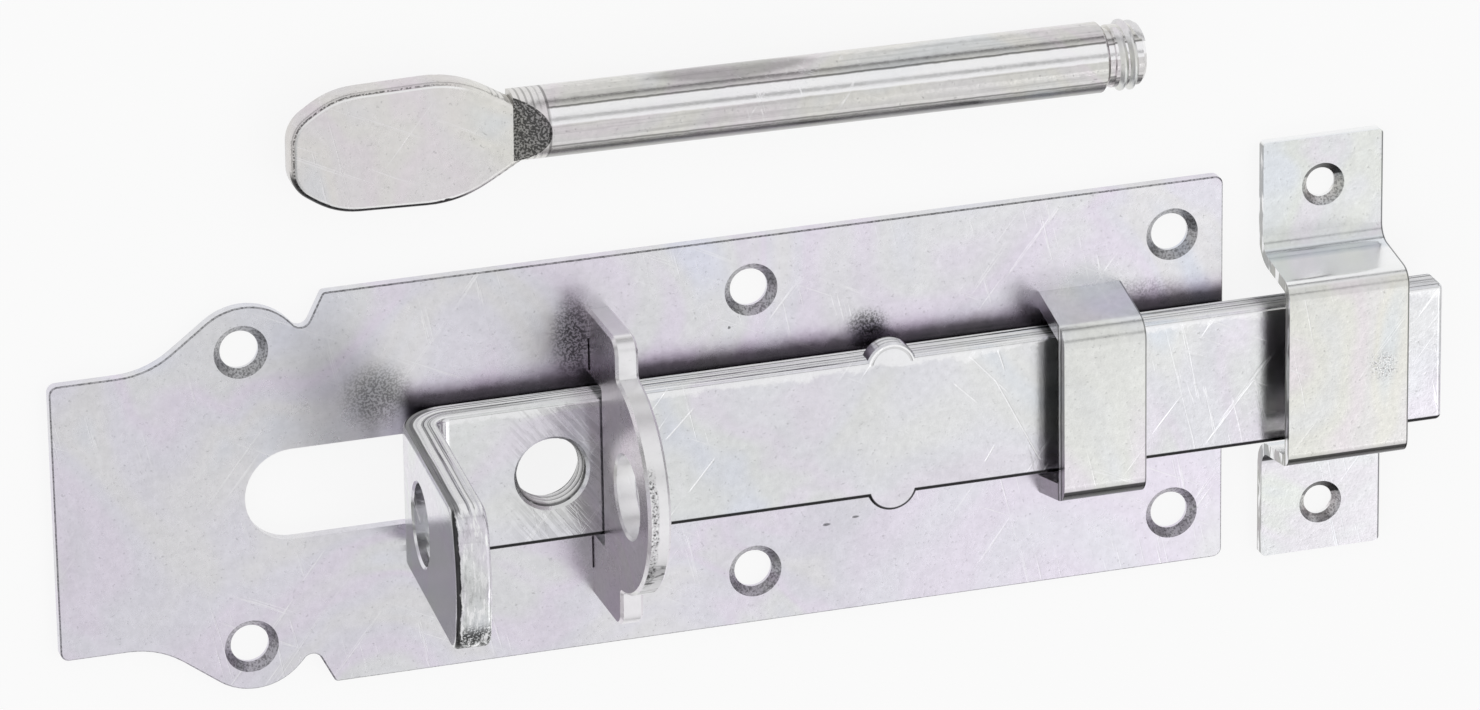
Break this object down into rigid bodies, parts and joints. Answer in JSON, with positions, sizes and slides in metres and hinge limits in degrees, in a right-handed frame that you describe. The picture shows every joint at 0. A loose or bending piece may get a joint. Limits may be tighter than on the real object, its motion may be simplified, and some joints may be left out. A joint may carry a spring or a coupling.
{
  "type": "padbolt",
  "caption": "Flat steel slide bolt on a staked base plate with a padlock lug pair, a guide strap, a separate folded keeper and a loose screw-in handle.",
  "frame": {"origin": "centre of the four-hole screw pattern, on the back plane of the base plate", "axes": "+X along the bolt's throw towards the keeper, +Y across the plate towards the loose handle, +Z out of the plate's front"},
  "size_m": [0.243, 0.1081, 0.0505],
  "materials": {
    "zinc_sheet": "bright zinc plate",
    "zinc_bar": "bright zinc plate",
    "zinc_forging": "satin zinc plate"
  },
  "bodies": {
    "plate": {"base_plate": "zinc_sheet", "fixed_lug": "zinc_sheet", "guide_strap": "zinc_sheet", "keeper": "zinc_sheet", "handle": "zinc_forging"},
    "bolt": {"bolt": "zinc_bar"}
  },
  "joints": [
    {"name": "bolt_slide", "type": "slide", "parent": "plate", "child": "bolt", "axis": [1, 0, 0], "range_m": [-0.0442, 0.0249]}
  ]
}
